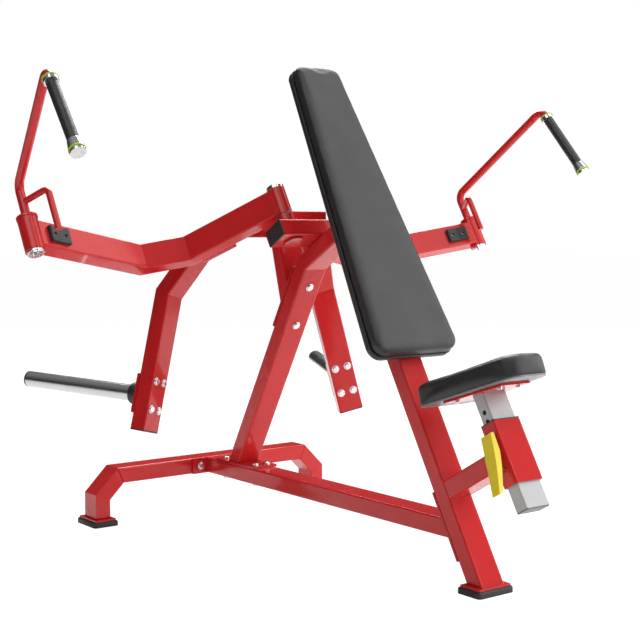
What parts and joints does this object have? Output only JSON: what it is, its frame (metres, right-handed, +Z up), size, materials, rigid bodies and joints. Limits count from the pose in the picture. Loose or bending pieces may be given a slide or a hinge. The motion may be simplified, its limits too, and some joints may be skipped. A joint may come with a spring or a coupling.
{
  "type": "chest press machine",
  "caption": "Plate-loaded seated chest press: raked frame, tapered back pad, adjustable seat, independent swinging arms with swivelling handles and weight horns.",
  "frame": {"origin": "on the floor under the middle of the machine's bounding box, on its centre plane", "axes": "+Z up, the seated user faces -Y, +X is the user's left"},
  "size_m": [1.8232, 1.6603, 1.4025],
  "materials": {
    "frame_paint": "gloss",
    "plate_paint": "gloss",
    "black_rubber": "matte",
    "black_plastic": "satin",
    "bright_steel": "polished",
    "dark_bushing": "satin",
    "horn_chrome": "polished",
    "seat_post_silver": "satin metallic",
    "grey_plastic": "satin",
    "yellow_plastic": "gloss",
    "green_plastic": "gloss",
    "upholstery": "fine grained leatherette"
  },
  "bodies": {
    "frame": {"rear_cross_tube": "frame_paint", "rear_legs": "frame_paint", "foot_plates": "plate_paint", "rubber_feet": "black_rubber", "base_beam": "frame_paint", "joint_plates": "plate_paint", "front_post": "frame_paint", "upright": "frame_paint", "head_tube": "frame_paint", "brace_tube": "frame_paint", "stop_bar": "frame_paint", "stop_bumpers": "black_rubber", "cross_tube": "frame_paint", "frame_end_caps": "black_plastic", "pivot_housings": "plate_paint", "pivot_shafts": "bright_steel", "pivot_bushings": "dark_bushing", "frame_bolts": "bright_steel", "back_pad": "upholstery", "back_board": "black_plastic", "seat_bracket": "frame_paint", "seat_sleeve": "frame_paint", "sleeve_liner": "black_plastic", "lever_pivot_pin": "bright_steel"},
    "left_arm": {"left_arm_tube": "frame_paint", "left_arm_leg": "frame_paint", "left_arm_sleeves": "frame_paint", "left_catch_block": "black_rubber", "left_arm_bolts": "bright_steel", "left_horn_flange": "plate_paint", "left_weight_horn": "horn_chrome", "left_horn_bumper": "black_rubber", "left_end_caps": "black_plastic"},
    "left_handle": {"left_handle_bar": "frame_paint", "left_handle_retainer": "bright_steel", "left_handle_grip": "black_rubber", "left_grip_fittings": "bright_steel", "left_grip_rings": "green_plastic"},
    "right_arm": {"right_arm_tube": "frame_paint", "right_arm_leg": "frame_paint", "right_arm_sleeves": "frame_paint", "right_catch_block": "black_rubber", "right_arm_bolts": "bright_steel", "right_horn_flange": "plate_paint", "right_weight_horn": "horn_chrome", "right_horn_bumper": "black_rubber", "right_end_caps": "black_plastic"},
    "right_handle": {"right_handle_bar": "frame_paint", "right_handle_retainer": "bright_steel", "right_handle_grip": "black_rubber", "right_grip_fittings": "bright_steel", "right_grip_rings": "green_plastic"},
    "seat": {"seat_post": "seat_post_silver", "seat_post_cap": "grey_plastic", "seat_carrier": "seat_post_silver", "seat_pad": "upholstery", "seat_bolts": "bright_steel"},
    "lever": {"seat_lever": "yellow_plastic"},
    "lock_pin": {"lock_pin": "bright_steel"}
  },
  "joints": [
    {"name": "left_arm_swing", "type": "hinge", "parent": "frame", "child": "left_arm", "pos_m": [0.117, 0.08073, 1.00273], "axis": [0, -0.5, -0.866], "range_deg": [0, 55]},
    {"name": "right_arm_swing", "type": "hinge", "parent": "frame", "child": "right_arm", "pos_m": [-0.117, 0.08073, 1.00273], "axis": [0, 0.5, 0.866], "range_deg": [0, 55]},
    {"name": "left_handle_swivel", "type": "hinge", "parent": "left_arm", "child": "left_handle", "pos_m": [0.81738, 0.24107, 0.91016], "axis": [0, -0.5, -0.866], "range_deg": [-40, 51]},
    {"name": "right_handle_swivel", "type": "hinge", "parent": "right_arm", "child": "right_handle", "pos_m": [-0.81738, 0.24107, 0.91016], "axis": [0, 0.5, 0.866], "range_deg": [-40, 51]},
    {"name": "seat_height", "type": "slide", "parent": "frame", "child": "seat", "axis": [0, 0.5, 0.866], "range_m": [-0.05, 0.025]},
    {"name": "lever_pivot", "type": "hinge", "parent": "frame", "child": "lever", "pos_m": [-0.061, -0.73362, 0.37824], "axis": [0, 0.866, -0.5], "range_deg": [-6.5, 0]},
    {"name": "lock_pin_slide", "type": "slide", "parent": "frame", "child": "lock_pin", "axis": [-1, 0, 0], "range_m": [-0.006, 0]}
  ],
  "couplings": [
    {"joint": "lock_pin_slide", "follows": "lever_pivot", "m_per_rad": 0.046}
  ]
}
